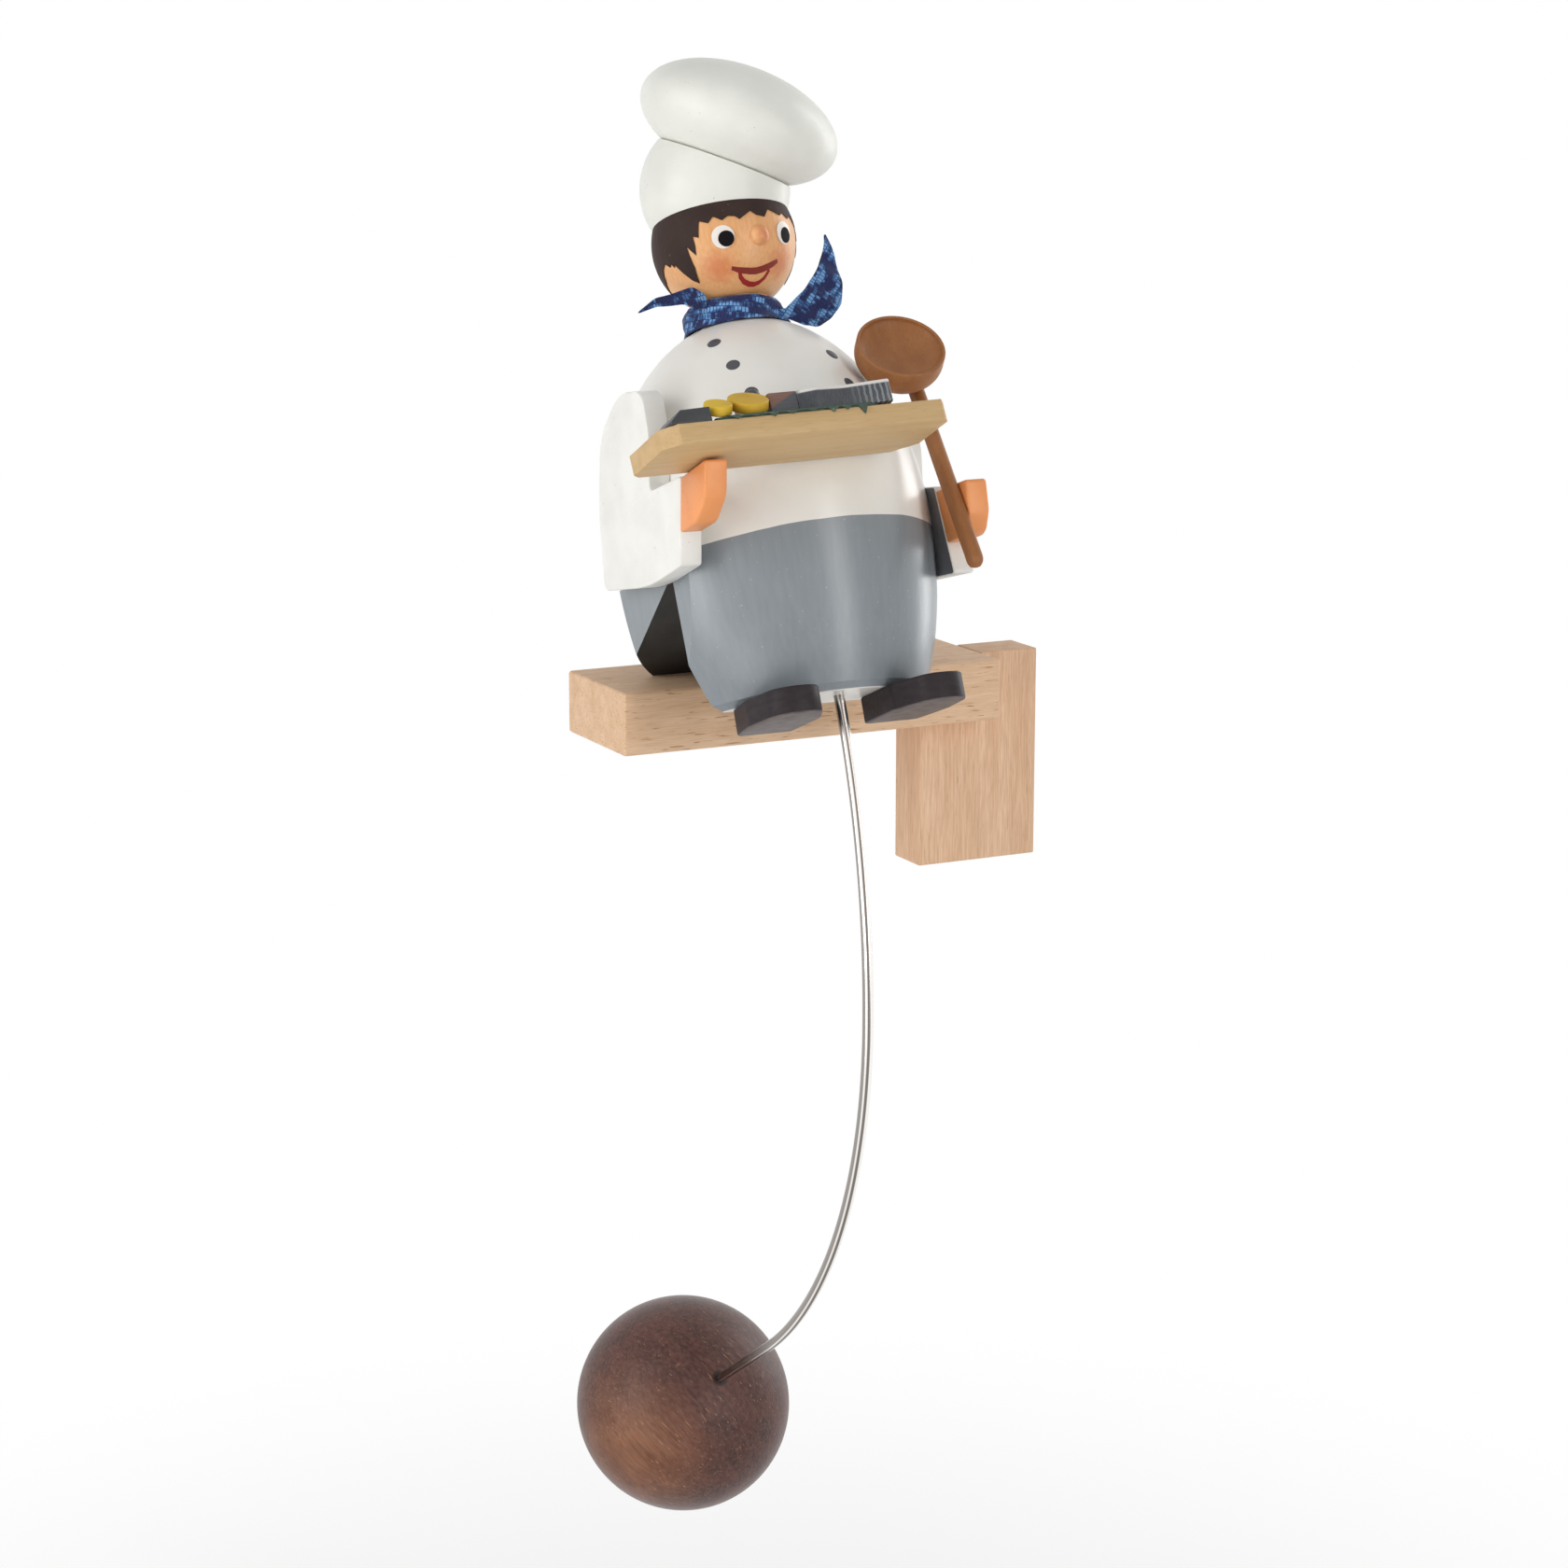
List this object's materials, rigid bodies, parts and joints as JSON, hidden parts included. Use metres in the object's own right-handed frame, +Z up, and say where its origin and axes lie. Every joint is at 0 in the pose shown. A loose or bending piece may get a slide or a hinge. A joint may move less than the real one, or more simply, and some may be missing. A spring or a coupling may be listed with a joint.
{
  "type": "counterweight balancing toy",
  "caption": "Painted wooden cook with a tray and a spoon, rocking on the edge of a wooden perch and kept upright by a ball on a bent steel rod.",
  "frame": {"origin": "middle of the post's sawn lower end, by which the perch is held", "axes": "+X along the beam towards the post (the figure's left), +Y from the figure's front to its back, +Z up"},
  "size_m": [0.126, 0.1351, 0.3724],
  "materials": {
    "beech": "planed, bare",
    "white_paint": "painted, satin",
    "skin_paint": "painted, satin",
    "shoe_paint": "painted, satin",
    "tray_wood": "varnished",
    "spoon_stain": "stained, satin",
    "fish_paint": "painted, satin",
    "fillet_paint": "painted, satin",
    "lemon_paint": "painted, satin",
    "leaf_paint": "painted, satin",
    "olive_paint": "painted, satin",
    "ribbon": "ribbed weave",
    "bright_steel": "drawn, bright",
    "weight_steel": "sawn",
    "walnut_stain": "stained, satin"
  },
  "bodies": {
    "perch": {"perch_beam": "beech", "perch_post": "beech", "perch_dowel": "beech"},
    "figure": {"torso": "white_paint", "right_foot": "shoe_paint", "left_foot": "shoe_paint", "neck_dowel": "beech", "head": "skin_paint", "nose": "skin_paint", "hat_pin": "beech", "hat_band": "white_paint", "crown_dowel": "beech", "hat_crown": "white_paint", "scarf_band": "ribbon", "scarf_tail_right": "ribbon", "scarf_tail_left": "ribbon", "right_arm_peg": "beech", "left_arm_peg": "beech", "right_arm": "white_paint", "left_arm": "white_paint", "right_hand": "skin_paint", "left_hand": "skin_paint", "tray_board": "tray_wood", "salad_leaf": "leaf_paint", "fish_head": "fish_paint", "fish_fillet": "fillet_paint", "fish_tail": "fish_paint", "lemon_slice_1": "lemon_paint", "lemon_slice_2": "lemon_paint", "olive": "olive_paint", "spoon_bowl": "spoon_stain", "spoon_handle": "spoon_stain", "rod": "bright_steel", "ball": "walnut_stain", "ball_weight": "weight_steel", "ball_plug": "walnut_stain"}
  },
  "joints": [
    {"name": "rocking_edge", "type": "hinge", "parent": "perch", "child": "figure", "pos_m": [-0.0593, 0.0017, 0.05202], "axis": [1, 0, 0], "range_deg": [-11.5, 46]}
  ]
}
